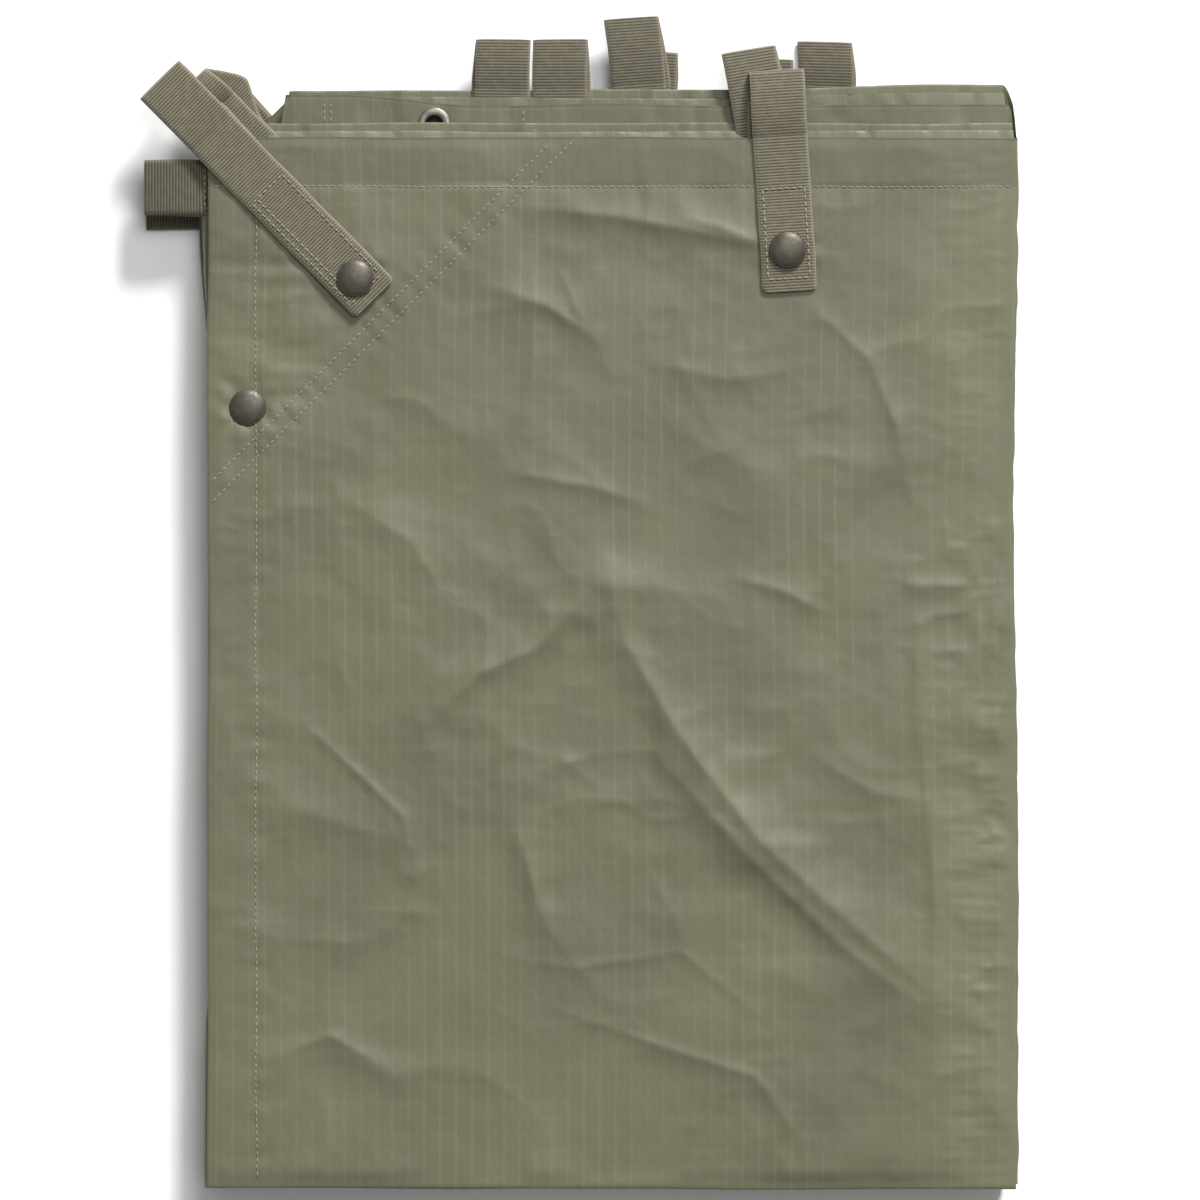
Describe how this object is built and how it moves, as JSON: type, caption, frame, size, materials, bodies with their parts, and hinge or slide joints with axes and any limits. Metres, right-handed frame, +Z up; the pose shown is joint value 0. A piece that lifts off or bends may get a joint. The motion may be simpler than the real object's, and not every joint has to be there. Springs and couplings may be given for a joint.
{
  "type": "folding stretcher",
  "caption": "Soft folding stretcher: a ripstop sheet with webbing carrying loops round its hem, packed flat; its panels open like a concertina and its loops bend.",
  "frame": {"origin": "middle of the underside of the folded pack, on the surface that it lies on", "axes": "+X across the pack to its main fold, +Y from the bottom folds up to the hems, +Z up through the layers to the front"},
  "size_m": [0.4013, 0.5348, 0.0283],
  "materials": {
    "ripstop_cloth": "olive ripstop, thinly coated",
    "webbing": "ribbed khaki webbing",
    "stud_metal": "dark bronze, satin",
    "inner_metal": "oxidised brass",
    "spring_wire": "drawn wire",
    "eyelet_metal": "dull nickel plate"
  },
  "bodies": {
    "root": {"foot_corner_loop_4_legs": "webbing", "foot_corner_patch_4": "ripstop_cloth", "foot_loop_4_legs": "webbing", "head_corner_loop_4_legs": "webbing", "head_corner_patch_4": "ripstop_cloth", "head_loop_4_legs": "webbing", "hem_stud": "inner_metal", "hem_stud_post": "inner_metal", "panel_4_back_leaf": "ripstop_cloth", "panel_4_front_leaf": "ripstop_cloth", "side_loop_4_legs": "webbing"},
    "panel_3": {"eyelet_washer_3": "eyelet_metal", "foot_loop_3_legs": "webbing", "head_loop_3_legs": "webbing", "hem_eyelet_3": "eyelet_metal", "panel_3_back_leaf": "ripstop_cloth", "panel_3_front_leaf": "ripstop_cloth"},
    "panel_2": {"eyelet_washer_2": "eyelet_metal", "foot_loop_2_legs": "webbing", "head_loop_2_legs": "webbing", "hem_eyelet_2": "eyelet_metal", "panel_2_back_leaf": "ripstop_cloth", "panel_2_front_leaf": "ripstop_cloth"},
    "panel_1": {"foot_corner_loop_1_legs": "webbing", "foot_corner_patch_1": "ripstop_cloth", "foot_loop_1_legs": "webbing", "head_corner_loop_1_legs": "webbing", "head_corner_patch_1": "ripstop_cloth", "head_loop_1_legs": "webbing", "panel_1_back_leaf": "ripstop_cloth", "panel_1_front_leaf": "ripstop_cloth", "side_loop_1_legs": "webbing", "socket_springs": "spring_wire", "stud_caps": "stud_metal", "stud_sockets": "inner_metal"},
    "foot_corner_loop_1": {"foot_corner_loop_1": "webbing"},
    "foot_corner_loop_4": {"foot_corner_loop_4": "webbing"},
    "foot_loop_1": {"foot_loop_1": "webbing"},
    "foot_loop_2": {"foot_loop_2": "webbing"},
    "foot_loop_3": {"foot_loop_3": "webbing"},
    "foot_loop_4": {"foot_loop_4": "webbing"},
    "head_corner_loop_1": {"head_corner_loop_1": "webbing"},
    "head_corner_loop_4": {"head_corner_loop_4": "webbing"},
    "head_loop_1": {"head_loop_1": "webbing"},
    "head_loop_2": {"head_loop_2": "webbing"},
    "head_loop_3": {"head_loop_3": "webbing"},
    "head_loop_4": {"head_loop_4": "webbing"},
    "side_loop_1": {"side_loop_1": "webbing"},
    "side_loop_4": {"side_loop_4": "webbing"}
  },
  "joints": [
    {"name": "lower_fold", "type": "hinge", "parent": "root", "child": "panel_3", "pos_m": [0.182, 0, 0.00645], "axis": [0, 1, 0], "range_deg": [0, 180]},
    {"name": "middle_fold", "type": "hinge", "parent": "panel_3", "child": "panel_2", "pos_m": [-0.19, 0, 0.01305], "axis": [0, 1, 0], "range_deg": [-180, 0]},
    {"name": "upper_fold", "type": "hinge", "parent": "panel_2", "child": "panel_1", "pos_m": [0.1853, 0, 0.02075], "axis": [0, 1, 0], "range_deg": [0, 180]},
    {"name": "head_corner_loop_1_bend", "type": "hinge", "parent": "panel_1", "child": "head_corner_loop_1", "pos_m": [-0.1834, 0.23, 0.0261], "axis": [-0.712, -0.7022, 0], "range_deg": [-120, 0], "stiffness_Nm_per_rad": 0.004},
    {"name": "foot_corner_loop_1_bend", "type": "hinge", "parent": "panel_1", "child": "foot_corner_loop_1", "pos_m": [-0.182, 0.24, 0.0228], "axis": [-0.7071, -0.7071, 0], "range_deg": [-108, 0], "stiffness_Nm_per_rad": 0.004},
    {"name": "head_corner_loop_4_bend", "type": "hinge", "parent": "root", "child": "head_corner_loop_4", "pos_m": [-0.1746, 0.239, 0.0063], "axis": [-0.7071, -0.7071, 0], "range_deg": [-42, 0], "stiffness_Nm_per_rad": 0.004},
    {"name": "foot_corner_loop_4_bend", "type": "hinge", "parent": "root", "child": "foot_corner_loop_4", "pos_m": [-0.18, 0.2336, 0.003], "axis": [-0.7071, -0.7071, 0], "range_deg": [-22, 0], "stiffness_Nm_per_rad": 0.004},
    {"name": "head_loop_1_bend", "type": "hinge", "parent": "panel_1", "child": "head_loop_1", "pos_m": [0.0751, 0.2289, 0.0261], "axis": [-0.998, -0.0628, 0], "range_deg": [-120, 0], "stiffness_Nm_per_rad": 0.004},
    {"name": "foot_loop_1_bend", "type": "hinge", "parent": "panel_1", "child": "foot_loop_1", "pos_m": [0.0666, 0.2367, 0.0228], "axis": [-0.9869, -0.1616, 0], "range_deg": [-108, 0], "stiffness_Nm_per_rad": 0.004},
    {"name": "head_loop_2_bend", "type": "hinge", "parent": "panel_2", "child": "head_loop_2", "pos_m": [-0.025, 0.251, 0.0162], "axis": [-1, -0.0087, 0], "range_deg": [-120, 0], "stiffness_Nm_per_rad": 0.004},
    {"name": "foot_loop_2_bend", "type": "hinge", "parent": "panel_2", "child": "foot_loop_2", "pos_m": [-0.0514, 0.251, 0.0162], "axis": [-1, 0.0087, 0], "range_deg": [-120, 0], "stiffness_Nm_per_rad": 0.004},
    {"name": "head_loop_3_bend", "type": "hinge", "parent": "panel_3", "child": "head_loop_3", "pos_m": [0.0109, 0.253, 0.0129], "axis": [-0.9976, -0.0698, 0], "range_deg": [-120, 0], "stiffness_Nm_per_rad": 0.004},
    {"name": "foot_loop_3_bend", "type": "hinge", "parent": "panel_3", "child": "foot_loop_3", "pos_m": [0.0159, 0.256, 0.0096], "axis": [-0.9994, 0.0349, 0], "range_deg": [-60, 0], "stiffness_Nm_per_rad": 0.004},
    {"name": "head_loop_4_bend", "type": "hinge", "parent": "root", "child": "head_loop_4", "pos_m": [0.0688, 0.253, 0.0063], "axis": [-1, 0, 0], "range_deg": [-50, 0], "stiffness_Nm_per_rad": 0.004},
    {"name": "foot_loop_4_bend", "type": "hinge", "parent": "root", "child": "foot_loop_4", "pos_m": [0.0964, 0.253, 0.003], "axis": [-0.9997, 0.0262, 0], "range_deg": [-60, 0], "stiffness_Nm_per_rad": 0.004},
    {"name": "side_loop_1_bend", "type": "hinge", "parent": "panel_1", "child": "side_loop_1", "pos_m": [-0.1905, 0.2055, 0.0228], "axis": [0, -1, 0], "range_deg": [-90, 0], "stiffness_Nm_per_rad": 0.004},
    {"name": "side_loop_4_bend", "type": "hinge", "parent": "root", "child": "side_loop_4", "pos_m": [-0.1905, 0.1993, 0.003], "axis": [0, -1, 0], "range_deg": [-35, 0], "stiffness_Nm_per_rad": 0.004}
  ],
  "couplings": [
    {"joint": "middle_fold", "follows": "lower_fold", "ratio": -1},
    {"joint": "upper_fold", "follows": "lower_fold", "ratio": 1},
    {"joint": "foot_corner_loop_1_bend", "follows": "head_corner_loop_1_bend", "ratio": 0.9},
    {"joint": "foot_loop_1_bend", "follows": "head_loop_1_bend", "ratio": 0.9},
    {"joint": "foot_loop_3_bend", "follows": "head_loop_3_bend", "ratio": 0.5},
    {"joint": "foot_corner_loop_4_bend", "follows": "head_corner_loop_4_bend", "ratio": 0.5}
  ]
}
